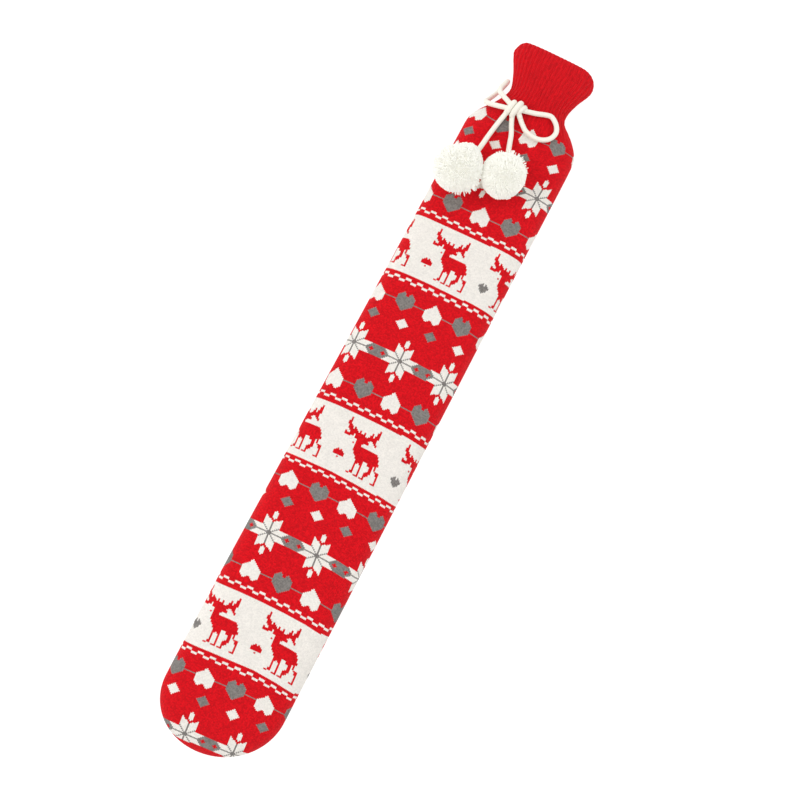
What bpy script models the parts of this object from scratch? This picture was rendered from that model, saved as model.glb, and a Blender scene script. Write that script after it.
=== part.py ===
"""Knitted cover for a long hot water bottle, lying on its back.

Y runs along the cover, from the sewn foot at -Y to the open ribbed mouth at +Y. Z is up, and the
origin lies on the ground under the middle of the cover. Sizes are in millimetres, and MM turns
them into Blender's metres.
"""

import math
import random
from collections import namedtuple

import bmesh
import bpy
from mathutils import Vector

MM = 0.001

# The sleeve, along y
FOOT_START = -337.0  # where the straight sides end
FOOT_LENGTH = 57.4  # of the rounded foot, half an ellipse in plan
MOUTH = 392.2  # the open end of the neck
FOOT_FULLNESS = 2.4  # how long the foot stays thick before it thins to its seam
SEAM_HEIGHT = 8.0  # of the foot's tip, where front and back are sewn together
SEAM_MARGIN = 5.0  # from the hollow's end to the foot's tip
WALL = 2.6
UNDERSIDE_PRESS = 1.2  # how far the round underside is pressed flat on the ground
UNDERSIDE_SQUARENESS = 8.0
SLANT = 0.035  # how much nearer the neck a row of stitches lies for each millimetre to the right
FOOT_SLANT = 0.08  # the same at the foot, reached from the next value to FOOT_START
FOOT_SLANT_START = -230.0

# The ribbed neck, whose ribs rise from the first y to the second
RIBS = 80
RIB_DEPTH = 0.8
RIB_START = 312.0
RIB_FULL = 328.0

# The rim's round corners, seen from above
RIM_BEND_START = 341.0  # the first row that bends with them
RIM_CORNER_LEFT = (10.0, 10.0)  # its size across and along
RIM_CORNER_RIGHT = (20.0, 14.0)

# Points round a ring: the body takes one for every second stitch, the neck two for every rib
BODY_POINTS = 80
NECK_POINTS = 2 * RIBS
INNER_POINTS = 40
OUTLINE_STEPS = 240  # of the fine outline that a ring's points are spaced along

# Plan half-widths, height of the top, height of the widest level, and how square the upper half is
Section = namedtuple("Section", "y left right top side square")
SECTIONS = (
    Section(FOOT_START, 61.3, 62.3, 25.5, 12.0, 5.0),
    Section(-230.0, 61.8, 61.8, 27.0, 12.5, 6.0),
    Section(-75.0, 60.8, 61.0, 27.0, 12.5, 6.0),
    Section(35.0, 60.2, 60.3, 27.0, 12.5, 6.0),
    Section(215.0, 59.5, 59.5, 27.0, 12.5, 6.0),
    Section(280.0, 59.6, 59.4, 27.0, 12.5, 5.5),
    Section(294.0, 59.0, 59.0, 27.5, 12.5, 5.0),
    Section(302.0, 56.0, 57.6, 28.0, 13.0, 4.6),
    Section(311.0, 50.0, 52.4, 28.5, 13.0, 4.2),
    Section(320.0, 42.4, 43.8, 29.0, 13.5, 3.6),
    Section(330.0, 36.2, 31.8, 29.5, 14.0, 3.2),
    Section(341.0, 33.4, 29.6, 29.5, 14.0, 3.0),
    Section(356.0, 38.2, 33.2, 28.0, 13.5, 3.0),
    Section(372.0, 45.1, 38.4, 25.5, 12.5, 3.0),
    Section(384.0, 48.0, 40.5, 23.0, 11.5, 3.0),
    Section(MOUTH, 49.0, 41.3, 21.0, 10.5, 3.0),
)
FOOT_ANGLES = (20, 38, 53, 65, 75, 83, 88)  # degrees round the foot's half ellipse
BODY_STATIONS = (-337, -285, -230, -150, -75, -20, 35, 95, 155, 215, 250, 280, 294, 303)
NECK_STATIONS = (312, 318, 324, 330, 336, 342, 350, 358, 366, 375, 384, 391)
INNER_STATIONS = (-337, -230, -75, 35, 155, 215, 280, 294, 303, 312, 320, 328, 341, 356, 372)

# The tie: one knitted cord, in its four visible stretches
CORD = 5.0
CORD_STEP = 4.5  # between the points that a stretch's tube is drawn through
CORD_ROUNDNESS = 3  # the curve's bevel resolution
TIE_ROUTES = {
    "tie_loop_right": (
        (-9.0, 319.0, 33.6),
        (1.6, 322.4, 32.6),
        (10.2, 325.7, 32.4),
        (16.8, 326.7, 32.4),
        (24.4, 321.6, 32.0),
        (28.0, 313.8, 31.6),
        (24.4, 305.0, 31.2),
        (14.3, 299.9, 31.0),
        (1.6, 300.9, 31.0),
        (-5.6, 305.4, 31.2),
        (-11.6, 310.7, 32.1),
    ),
    "tie_loop_left": (
        (-30.0, 312.5, 33.2),
        (-38.4, 310.9, 31.4),
        (-46.8, 311.1, 26.0),
        (-50.8, 314.7, 17.0),
        (-49.4, 321.4, 7.6),
        (-46.0, 330.8, 3.2),
        (-43.0, 339.0, 3.6),
        (-41.0, 344.6, 7.6),
        (-40.6, 345.2, 13.6),
        (-41.6, 340.2, 19.6),
        (-43.2, 333.0, 24.2),
        (-42.4, 327.4, 28.0),
        (-37.5, 323.3, 31.8),
        (-29.3, 319.3, 33.9),
    ),
    "tie_tail_left": (
        (-25.9, 308.6, 32.8),
        (-27.8, 299.9, 30.9),
        (-29.8, 288.5, 30.9),
        (-31.2, 277.3, 33.4),
        (-32.2, 265.2, 38.2),
        (-33.4, 255.6, 41.4),
    ),
    "tie_tail_right": (
        (-19.4, 308.6, 32.8),
        (-16.2, 301.0, 30.9),
        (-11.5, 291.5, 31.2),
        (-8.0, 279.9, 34.6),
        (-5.4, 271.0, 38.6),
    ),
}

# The knot: rounded wraps of the cord, lying across each other
Wrap = namedtuple("Wrap", "x y z long wide high turn")
KNOT_WRAPS = (
    Wrap(-20.0, 315.2, 34.4, 19.6, 13.0, 11.0, 4.0),
    Wrap(-25.0, 320.2, 35.0, 10.0, 6.6, 9.0, 66.0),
    Wrap(-19.0, 321.6, 35.4, 10.4, 6.6, 9.2, 78.0),
    Wrap(-13.4, 320.6, 35.0, 9.6, 6.4, 8.6, 96.0),
)

# The pompoms: balls of cut yarn, pressed flat where they rest and where they meet
Pompom = namedtuple("Pompom", "x y z radius seed")
POMPOMS = {
    "pompom_left": Pompom(-42.1, 229.4, 49.2, 25.2, 3),
    "pompom_right": Pompom(2.4, 244.8, 48.2, 24.0, 8),
}
POMPOM_CUTS = 3  # each cube side gives (cuts + 1) squared locks
POMPOM_ROOT = 0.74  # radius of the wound core, as a share of the ball
LOCK_PARTING = 0.92  # width of a lock at its root, as a share of its place on the core
LOCK_TIP = 0.74  # width of its tip, as a share of its root
LOCK_SPREAD = 0.05  # unevenness of the trimmed ends
POMPOM_REST = 27.6  # the level that the pompoms rest on, clear of the sleeve's top
POMPOM_PARTING = 0.4  # half the gap between the two


def clear_scene():
    for obj in list(bpy.data.objects):
        bpy.data.objects.remove(obj, do_unlink=True)


def collection(name):
    made = bpy.data.collections.new(name)
    bpy.context.scene.collection.children.link(made)
    return made


def yarn(name, color, roughness):
    made = bpy.data.materials.new(name)
    made.use_nodes = True
    shader = made.node_tree.nodes["Principled BSDF"]
    shader.inputs["Base Color"].default_value = (*color, 1.0)
    shader.inputs["Roughness"].default_value = roughness
    shader.inputs["Metallic"].default_value = 0.0
    return made


def add_object(name, data, material, group):
    obj = bpy.data.objects.new(name, data)
    obj.data.materials.append(material)
    group.objects.link(obj)
    return obj


def mesh_object(name, bm, material, group):
    bmesh.ops.recalc_face_normals(bm, faces=bm.faces)
    mesh = bpy.data.meshes.new(name)
    bm.to_mesh(mesh)
    bm.free()
    mesh.shade_smooth()
    mesh.set_sharp_from_angle(angle=math.radians(50))
    return add_object(name, mesh, material, group)


def ease(value, start, end):
    """0 before start, 1 after end, and a smooth rise between."""
    share = min(max((value - start) / (end - start), 0.0), 1.0)
    return share * share * (3 - 2 * share)


def section_at(y):
    """The sleeve's section at y, on a smooth curve through the rows of SECTIONS."""
    last = len(SECTIONS) - 1
    i = min(max(sum(row.y <= y for row in SECTIONS) - 1, 0), last - 1)
    a, b = SECTIONS[i], SECTIONS[i + 1]
    before, after = SECTIONS[max(i - 1, 0)], SECTIONS[min(i + 2, last)]
    step = b.y - a.y
    t = (y - a.y) / step
    values = [y]
    for p0, p1, p2, p3 in zip(before[1:], a[1:], b[1:], after[1:]):
        slope_a = (p2 - p0) / (b.y - before.y) * step
        slope_b = (p3 - p1) / (after.y - a.y) * step
        rise = p2 - p1
        values.append(
            p1 + t * slope_a
            + t * t * (3 * rise - 2 * slope_a - slope_b)
            + t * t * t * (slope_a + slope_b - 2 * rise)
        )
    return Section(*values)


def foot_section(angle, length):
    """The section at an angle round the foot, for a foot of that length."""
    start = SECTIONS[0]
    reach = math.sin(math.radians(angle))
    left, right = (half * math.cos(math.radians(angle)) for half in (start.left, start.right))
    fullness = math.sqrt(1 - reach**FOOT_FULLNESS)
    side = SEAM_HEIGHT + (start.side - SEAM_HEIGHT) * fullness
    top = SEAM_HEIGHT + (start.top - SEAM_HEIGHT) * fullness
    square = 2 + (start.square - 2) * fullness
    return Section(start.y - length * reach, left, right, top, side, square), fullness


def slant(y):
    """How much nearer the neck the row at y lies for each millimetre to the right."""
    return SLANT + (FOOT_SLANT - SLANT) * ease(-y, -FOOT_SLANT_START, -FOOT_START)


def rim_bend(x, y):
    """How far the rim's round corners draw a point back towards the body."""
    mouth = SECTIONS[-1]
    across, along = RIM_CORNER_RIGHT if x > 0 else RIM_CORNER_LEFT
    start = (mouth.right if x > 0 else mouth.left) - across
    over = min(max((abs(x) - start) / across, 0.0), 1.0)
    drop = along * (1 - math.sqrt(1 - over**2))
    return drop * ease(y, RIM_BEND_START, mouth.y)


def outline(section, inset, fullness):
    """The fine closed outline of a section, as (x, z), from the left side over the top."""
    centre = (section.right - section.left) / 2
    half = (section.right + section.left) / 2 - inset
    rise = section.top - inset - section.side
    fall = (section.side + UNDERSIDE_PRESS) * fullness - inset
    points = []
    for k in range(OUTLINE_STEPS):
        angle = math.pi - 2 * math.pi * k / OUTLINE_STEPS
        across, up = math.cos(angle), math.sin(angle)
        square = section.square if up >= 0 else UNDERSIDE_SQUARENESS
        x = centre + half * math.copysign(abs(across) ** (2 / square), across)
        z = section.side + (rise if up >= 0 else fall) * up
        points.append((x, max(z, inset)))
    return points


def ring(section, count, inset=0.0, fullness=1.0, relief=0.0):
    """count points spaced evenly round a section, every second one raised by relief."""
    fine = outline(section, inset, fullness)
    fine.append(fine[0])
    along = [0.0]
    for (x0, z0), (x1, z1) in zip(fine, fine[1:]):
        along.append(along[-1] + math.hypot(x1 - x0, z1 - z0))
    points = []
    i = 0
    for k in range(count):
        at = along[-1] * k / count
        while along[i + 1] < at:
            i += 1
        (x0, z0), (x1, z1) = fine[i], fine[i + 1]
        step = along[i + 1] - along[i]
        t = (at - along[i]) / step
        out = relief if k % 2 else 0.0
        x = x0 + t * (x1 - x0) + out * (z0 - z1) / step
        z = z0 + t * (z1 - z0) + out * (x1 - x0) / step
        y = section.y + slant(section.y) * x - rim_bend(x, section.y)
        points.append(Vector((x, y, max(z, inset))) * MM)
    return points


def sleeve_rings():
    """The rings of the closed solid: the outside from foot to mouth, then the inside back."""
    rings = []
    for angle in reversed(FOOT_ANGLES):
        section, fullness = foot_section(angle, FOOT_LENGTH)
        rings.append(ring(section, BODY_POINTS, fullness=fullness))
    rings += [ring(section_at(y), BODY_POINTS) for y in BODY_STATIONS]
    for y in NECK_STATIONS:
        relief = RIB_DEPTH * ease(y, RIB_START, RIB_FULL)
        rings.append(ring(section_at(y), NECK_POINTS, relief=relief))
    mouth = SECTIONS[-1]
    rings.append(ring(mouth, NECK_POINTS, inset=WALL * 0.5, relief=RIB_DEPTH * 0.5))
    rings.append(ring(mouth._replace(y=mouth.y - WALL * 0.5), BODY_POINTS, inset=WALL))
    for y in reversed(INNER_STATIONS):
        rings.append(ring(section_at(y), INNER_POINTS, inset=WALL))
    for angle in FOOT_ANGLES[:-2]:
        section, fullness = foot_section(angle, FOOT_LENGTH - SEAM_MARGIN)
        rings.append(ring(section, INNER_POINTS, inset=WALL, fullness=fullness))
    return rings


def loft(bm, rings):
    """Joins the rings with faces, also where one has twice the points of the next."""
    verts = [[bm.verts.new(p) for p in points] for points in rings]
    for low, high in zip(verts, verts[1:]):
        count = len(low)
        for i in range(count):
            j = (i + 1) % count
            if len(high) == count:
                bm.faces.new((low[i], low[j], high[j], high[i]))
            elif len(high) == 2 * count:
                wide = [high[(2 * i + k) % len(high)] for k in (2, 1, 0)]
                bm.faces.new((low[i], low[j], *wide))
            elif i % 2 == 0:
                k = (i + 2) % count
                a, b = high[i // 2], high[(i // 2 + 1) % len(high)]
                bm.faces.new((low[i], low[j], low[k], b, a))
    bm.faces.new(verts[0])
    bm.faces.new(verts[-1])


def make_cover(group, wool):
    bm = bmesh.new()
    loft(bm, sleeve_rings())
    bmesh.ops.triangulate(bm, faces=bm.faces)
    return mesh_object("cover", bm, wool, group)


def smooth_route(points, step):
    """Points about step apart on a smooth curve through the given ones."""
    path = [Vector(p) for p in points]
    path = [2 * path[0] - path[1], *path, 2 * path[-1] - path[-2]]
    route = []
    for before, a, b, after in zip(path, path[1:], path[2:], path[3:]):
        count = max(1, round((b - a).length / step))
        for k in range(count):
            t = k / count
            slope_a, slope_b = (b - before) / 2, (after - a) / 2
            rise = b - a
            route.append(
                a + t * slope_a
                + t * t * (3 * rise - 2 * slope_a - slope_b)
                + t**3 * (slope_a + slope_b - 2 * rise)
            )
    route.append(path[-2])
    return route


def make_tie_stretch(name, points, group, cotton):
    route = smooth_route(points, CORD_STEP)
    curve = bpy.data.curves.new(name, "CURVE")
    curve.dimensions = "3D"
    curve.bevel_depth = CORD / 2 * MM
    curve.bevel_resolution = CORD_ROUNDNESS
    curve.use_fill_caps = True
    spline = curve.splines.new("POLY")
    spline.points.add(len(route) - 1)
    for point, place in zip(spline.points, route):
        point.co = (*(place * MM), 1.0)
    return add_object(name, curve, cotton, group)


def wrap_bead(wrap):
    """One rounded wrap of the knot, as an object to be joined."""
    bpy.ops.mesh.primitive_uv_sphere_add(segments=12, ring_count=8, radius=0.5)
    bead = bpy.context.object
    size = Vector((wrap.long, wrap.wide, wrap.high)) * MM
    turn = math.radians(wrap.turn)
    for vert in bead.data.vertices:
        x, y, z = (a * b for a, b in zip(vert.co, size))
        vert.co = (
            x * math.cos(turn) - y * math.sin(turn) + wrap.x * MM,
            x * math.sin(turn) + y * math.cos(turn) + wrap.y * MM,
            z + wrap.z * MM,
        )
    return bead


def make_knot(group, helpers, cotton):
    first, *others = [wrap_bead(wrap) for wrap in KNOT_WRAPS]
    knot = add_object("tie_knot", first.data, cotton, group)
    bpy.data.objects.remove(first, do_unlink=True)
    for number, bead in enumerate(others, 1):
        bead.name = f"knot_wrap_{number}"
        for home in list(bead.users_collection):
            home.objects.unlink(bead)
        helpers.objects.link(bead)
        bead.hide_render = True
        bead.display_type = "WIRE"
        join = knot.modifiers.new(f"wrap_{number}", "BOOLEAN")
        join.operation = "UNION"
        join.solver = "EXACT"
        join.object = bead
    return knot


def pompom_reach(pompom, other):
    """A function giving how far the pompom may reach in a direction, in millimetres."""
    centre = Vector((pompom.x, pompom.y, pompom.z))
    towards = Vector((other.x, other.y, other.z)) - centre
    share = pompom.radius / (pompom.radius + other.radius)
    meeting = towards.length * share - POMPOM_PARTING
    towards.normalize()

    def reach(direction, wanted):
        limit = wanted
        if direction.z < 0:
            limit = min(limit, (centre.z - POMPOM_REST) / -direction.z)
        facing = direction.dot(towards)
        if facing > 0:
            limit = min(limit, meeting / facing)
        return limit

    return reach


def make_pompom(name, pompom, other, group, cotton):
    """A core with four-sided locks, each shorter where the ball rests or meets its neighbour."""
    rng = random.Random(pompom.seed)
    reach = pompom_reach(pompom, other)
    bm = bmesh.new()
    bmesh.ops.create_cube(bm, size=2.0)
    bmesh.ops.subdivide_edges(bm, edges=bm.edges, cuts=POMPOM_CUTS, use_grid_fill=True)
    core = pompom.radius * POMPOM_ROOT
    for vert in bm.verts:
        even = Vector([math.tan(c * math.pi / 4) for c in vert.co]).normalized()
        vert.co = even * reach(even, core)
    places = list(bm.faces)
    for face in places:
        middle = face.calc_center_median()
        ends = []
        for loop in face.loops:
            ends.append(middle + (loop.vert.co - middle) * LOCK_PARTING)
        length = pompom.radius * (1 + rng.uniform(-LOCK_SPREAD, LOCK_SPREAD))
        roots = []
        tips = []
        for end in ends:
            way = end.normalized()
            roots.append(bm.verts.new(way * reach(way, core)))
        for root in roots:
            way = (middle + (root.co - middle) * LOCK_TIP).normalized()
            tips.append(bm.verts.new(way * reach(way, length)))
        corners = [loop.vert for loop in face.loops]
        for i in range(4):
            j = (i + 1) % 4
            bm.faces.new((corners[i], corners[j], roots[j], roots[i]))
            bm.faces.new((roots[i], roots[j], tips[j], tips[i]))
        bm.faces.new(tips)
    bmesh.ops.delete(bm, geom=places, context="FACES_ONLY")
    bmesh.ops.scale(bm, vec=(MM, MM, MM), verts=bm.verts)
    ball = mesh_object(name, bm, cotton, group)
    ball.location = Vector((pompom.x, pompom.y, pompom.z)) * MM
    return ball


def build():
    clear_scene()
    group = collection("hot_water_bottle_cover")
    helpers = collection("helpers")
    wool = yarn("red_knit", (0.66, 0.012, 0.018), 0.9)
    cotton = yarn("cream_cord", (0.90, 0.88, 0.82), 0.9)
    fluff = yarn("cream_pompom_yarn", (0.91, 0.89, 0.82), 0.95)
    make_cover(group, wool)
    for name, points in TIE_ROUTES.items():
        make_tie_stretch(name, points, group, cotton)
    make_knot(group, helpers, cotton)
    left, right = POMPOMS["pompom_left"], POMPOMS["pompom_right"]
    make_pompom("pompom_left", left, right, group, fluff)
    make_pompom("pompom_right", right, left, group, fluff)


build()
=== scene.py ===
"""Looks of the knitted hot water bottle cover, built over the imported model.

Y runs along the cover, from the sewn foot at -Y to the ribbed mouth at +Y. Sizes are in
millimetres, and MM turns them into Blender's metres.
"""

import math
import random
from collections import namedtuple

import bpy
import numpy as np
from mathutils import Matrix, Vector


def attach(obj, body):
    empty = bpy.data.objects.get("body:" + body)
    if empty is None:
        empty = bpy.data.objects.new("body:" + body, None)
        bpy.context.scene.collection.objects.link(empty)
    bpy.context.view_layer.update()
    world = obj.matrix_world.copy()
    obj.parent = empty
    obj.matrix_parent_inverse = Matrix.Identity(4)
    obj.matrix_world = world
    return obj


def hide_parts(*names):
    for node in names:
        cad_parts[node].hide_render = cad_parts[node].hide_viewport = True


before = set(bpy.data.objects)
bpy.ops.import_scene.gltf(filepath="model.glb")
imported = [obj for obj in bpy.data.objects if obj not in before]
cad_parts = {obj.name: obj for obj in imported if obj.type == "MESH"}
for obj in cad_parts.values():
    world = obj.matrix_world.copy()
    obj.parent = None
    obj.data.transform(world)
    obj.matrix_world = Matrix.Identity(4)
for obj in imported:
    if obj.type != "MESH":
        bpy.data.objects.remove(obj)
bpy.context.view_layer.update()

MM = 0.001

# The photograph's view, in metres and degrees
CAMERA_PLACE = (0.0149, -0.1696, 1.4026)
CAMERA_TILT = 7  # from straight down, towards the mouth
CAMERA_TURN = (0.8838, 0.4679)  # cosine and sine of the cover's turn in the frame
LENS = 63

# The studio: each lamp's name, place and size in metres, and watts
FLOOR_HALF = 3.0
LAMPS = (
    ("key_light", (-1.5, -0.5, 1.7), 1.3, 16.0),
    ("fill_light", (0.9, 1.3, 1.9), 1.6, 9.0),
)

# The sleeve, along y, as in the part's source
FOOT_START = -337.0
FOOT_LENGTH = 57.4
MOUTH = 392.2
FOOT_FULLNESS = 2.4  # how long the foot stays thick: 2 is an ellipse
SEAM_HEIGHT = 8.0
SEAM_MARGIN = 5.0  # from the end of the inside to the closing seam
WALL = 2.6
UNDERSIDE_PRESS = 1.2  # how far the floor presses the round underside in
UNDERSIDE_SQUARENESS = 8.0
SLANT = 0.035  # how far the rows climb for each millimetre of x
FOOT_SLANT = 0.08
FOOT_SLANT_START = -230.0
RIB_DEPTH = 0.8
# The ribs, two stitches up and two down, at each half stitch: height, then a painted light and
# shade, lighter on the crests and darker in the hollows
RIB_PROFILE = (0.5, 0.95, 0.9, 0.95, 0.5, 0.08, 0.0, 0.08)
RIB_PAINTED_LIGHT_AND_SHADE = (0.02, 0.05, 0.05, 0.02, -0.01, -0.04, -0.04, -0.01)
RIB_START = 312.0
RIB_FULL = 328.0
# The mouth's round corners: how far each one reaches across and along the neck
RIM_BEND_START = 341.0
RIM_CORNER_LEFT = (10.0, 10.0)
RIM_CORNER_RIGHT = (20.0, 14.0)

# y, plan half-widths, height of the top, height of the widest level, squareness of the upper half
SECTIONS = np.array((
    (FOOT_START, 61.3, 62.3, 25.5, 12, 5),
    (-230, 61.8, 61.8, 27, 12.5, 6),
    (-75, 60.8, 61, 27, 12.5, 6),
    (35, 60.2, 60.3, 27, 12.5, 6),
    (215, 59.5, 59.5, 27, 12.5, 6),
    (280, 59.6, 59.4, 27, 12.5, 5.5),
    (294, 59, 59, 27.5, 12.5, 5),
    (302, 56, 57.6, 28, 13, 4.6),
    (311, 50, 52.4, 28.5, 13, 4.2),
    (320, 42.4, 43.8, 29, 13.5, 3.6),
    (330, 36.2, 31.8, 29.5, 14, 3.2),
    (341, 33.4, 29.6, 29.5, 14, 3),
    (356, 38.2, 33.2, 28, 13.5, 3),
    (372, 45.1, 38.4, 25.5, 12.5, 3),
    (384, 48, 40.5, 23, 11.5, 3),
    (MOUTH, 49, 41.3, 21, 10.5, 3),
))

# The knitting: a tube of 160 stitches round, and its boundaries by whole and half stitches
STITCHES = 160
STITCH_WIDTH = 1.5625
ROW_HEIGHT = 1.297
CHART_TOP = 307.5  # y of the pattern's first row
WHOLE = np.arange(STITCHES, dtype=float)
HALVES = np.arange(2 * STITCHES) / 2
RIB_HEIGHTS = np.array(RIB_PROFILE)[np.arange(2 * STITCHES) % len(RIB_PROFILE)]
# How far rows lie nearer the neck than an even, straight knitting would: y, then a value for
# each x. The cloth is pulled a little unevenly over its length, and its rows bow.
PULL_X = (-57, -36, -12, 12, 36, 57)
ROW_PULL = (
    (306, 3.5, 0, 0, 0, 1, 1.5),
    (298, 5, 0.5, 0, 0.5, 2.6, 3.8),
    (276, 2.8, 0.6, -0.5, 0.2, 2, 2.4),
    (242, 1, 1.4, 1.8, 2.2, 2.3, 1.6),
    (202, 0.2, -0.2, -0.1, 0.5, 1.1, 0.8),
    (185, -0.5, -1, -0.5, -0.1, 0.4, -0.2),
    (178, -0.4, -0.6, -0.1, 0.4, 0.8, 0.2),
    (172, -0.8, -1, -0.5, 0, 0.4, -0.3),
    (125, -1, -0.6, 0.1, 0.1, -0.3, -1.6),
    (117, -0.2, 0.3, 0.9, 0.8, 0.3, -0.8),
    (110, -1.5, -0.3, 0.2, 0.2, 0, -1.4),
    (90, -2.1, -1.3, -0.4, -0.4, -1.1, -2.8),
    (68, -1.7, -0.7, 0, 0.2, -0.5, -1.7),
    (33, -2, -0.5, 0, -0.2, -1.3, -3.2),
    (-6, -2.9, -1.8, -1.2, -1.3, -2, -4.3),
    (-24, -4.2, -3.1, -2.8, -2.9, -3.6, -5.3),
    (-31, -4, -2.9, -2.6, -2.7, -3.4, -5.2),
    (-37, -4.4, -3.4, -3.1, -3.2, -4, -5.8),
    (-84, -4.3, -3.8, -3.2, -3.8, -5, -7.2),
    (-92, -3.5, -3.3, -2.7, -3.5, -4.9, -7.3),
    (-97, -4.4, -3.8, -3.1, -4.2, -5.6, -7.5),
    (-117, -2.5, -1.6, -1.3, -1.8, -3.1, -5),
    (-139, -1.8, -0.8, -0.7, -1.3, -2.6, -4.3),
    (-174, -1.2, -0.4, 0, -0.6, -1.9, -4.9),
    (-213, -1.4, -0.9, -0.3, -0.8, -1.5, -3.5),
    (-231, -2.3, -1.3, -0.9, -1.4, -2.8, -4.6),
    (-237, -2, -1, -0.7, -1, -2.2, -4.7),
    (-243, -2.5, -1.5, -1.2, -1.5, -2.7, -5.2),
    (-292, -3, -2, -1.8, -1.6, -3.8, -7),
    (-300, -2.5, -1.5, -1.4, -1.1, -3.5, -7),
    (-306, -2.7, -2.4, -2.2, -1.7, -3.6, -7),
    (-325, -1.4, -0.4, -0.1, 0.3, -0.5, -3.2),
    (-347, 0.5, 0.5, 0, -0.4, -0.3, -0.3),
    (-394, -1.3, -1.3, -1.3, -1.3, -1.3, -1.3),
)
# How far the stitches are stretched sideways: y, then the share
STRETCH = (
    (306, 1.0), (298, 1.0), (276, 1.035), (242, 1.025), (202, 1.03), (178, 1.026),
    (119, 1.0), (-100, 1.0), (-139, 1.02), (-174, 1.028), (-306, 1.022), (-347, 1.0),
)
# The line of the column through the middle of a white heart: y, then x
HEART_LINE = (
    (298, 8.5), (276, 4.2), (202.5, 1.0), (90.4, 5.0), (-6.8, 9.3), (-118.6, 19.2),
    (-165, 23.6), (-213.5, 28.6), (-324.3, 37.6), (-347, 39.3), (-372, 42.2), (-395, 44.0),
)
RIB_ROWS = 3  # rows of stitches that one ring of the ribbed neck stands for
LIP_DROP = 0.6  # from the mouth to the neck's first ring
# The lip's turn to the inside: y, how far in, and how much of the ribs is left
LIP_TURN = ((MOUTH - 0.15, 0.45, 0.7), (MOUTH, 1.3, 0.5), (MOUTH - 0.15, 2.15, 0.3))
# Where the rings of the inside lie: y along the body, then degrees round the foot
INSIDE_Y = (
    390.9, 386, 380, 372, 364, 356, 348, 341, 334, 328, 320, 312,
    303, 294, 280, 215, 155, 95, 35, -75, -150, -230, -337,
)
INSIDE_ANGLES = (20, 38, 53, 65, 75)
INSIDE_POINTS = 80  # round one ring of the inside
OUTLINE_STEPS = 480  # round one outline of the sleeve
FOOT_STEPS = 1800  # round the foot, to measure it
NEAR = 0.2  # to each side of a point, to find the outline's direction
SEAM_END = 0.02  # a column this near to the closing seam's end has ended
ROW_END = 0.001  # a face's UV map stops this far short of the next row
SPARE_STATIONS = 4  # above the pattern's first row, for rows that are pulled up
SPARE_ROWS = 12  # after the last, before what is left is drawn to the foot's tip

# The pattern, in columns and rows
JOG_COLUMNS = (14, 94)  # between these columns the pattern sits one row higher
REPEAT = 160  # rows from one row of hearts to the same row again
LAST_ROWS = 537  # from here on plain red, down to the closing seam
HEARTS_APART = 20
STARS_APART = 32
STAR_COLUMN = -7
REINDEER_APART = 40
REINDEER_COLUMN = -22
BAND_ROWS = 48
DASH = 4  # stitches in one dash of the dashed rows

RED, WHITE, GREY = 0, 1, 2
STITCH_SEED = 5
YARN_UNEVENNESS = (0.16, 0.05, 0.2)  # how much lighter or darker one stitch is than the next

WHITE_HEART = """
.....#......
....###.....
....####....
...######...
..########..
.##########.
############
############
############
############
############
############
############
.####..####.
..##....##..
""".split()
GREY_HEART = """
...#....#...
..###..###..
.####..####.
############
############
############
############
############
############
############
.##########.
..########..
...######...
....####....
.....##.....
""".split()
DIAMOND = """
....#....
...###...
..#####..
.#######.
#########
.#######.
..#####..
...###...
....#....
""".split()
# One quarter of a star and half the lozenge beside it, from the star's middle outwards
STAR_QUARTER = """
gggggggggggrrrggg
ggwwwwwwwgggrgggg
gwgwwwwwwwggggggg
gwwgwwwwwwwgggggg
gwwwgwwwwwwwggggg
gwwwwgrrrrrrrrrrr
gwwwwwrrrrrrrrrrr
gwwwwwrrrrrrrrrrr
gwwwwwrrrrrrrrrrr
rwwwwwrrrrrrrrrrr
rrwwwwrrrrrrrrrrr
wrrrwwrrrrrrrrrrr
wwrrrwrrrrrrrrrrr
wwrrrrrrrrrrrrrrr
wwrrrrrrrrrrrrrrr
wwrrrrrrrrrrrrrrr
wwrrrrrrrrrrrrrrr
wrrrrrrrrrrrrrrrr
""".split()
REINDEER = """
...#
...#...................#
...#...................#
..##..................##
..##..................##
..###..............#..##
...###.#...........#.###
...###.##..#..#...##.###
...#######.#..#...#####
....###########..######
.....##################
..#..###.##########..##
..######.#########....##
..####...##########....#
...........########
...........#####
...........####
.........#.####
...........################
...........#################
...........#################
...........##################
...........##################
............#################
............##################
.............#################
..............###############
..............######...####.#
...............#####...####.#
...............#####.....##.#
...............##.##.....##..###
...............#...#.....##...##
...............#...#.....##...##
...............#...#....###....#
...............#...#...###.....#
...............#...#...###.....#
...............#...#...##......#
..............##...#...#.......#
..............##...#...#.......#
............##...###.###.....###
""".split()
RED_LEAF = """
..#.#..
.#####.
#######
#######
#######
.......
...#...
""".split()
GREY_LEAF = """
..#.#..
.##.##.
#######
#######
.#####.
.#####.
..###..
...#...
""".split()

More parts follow.
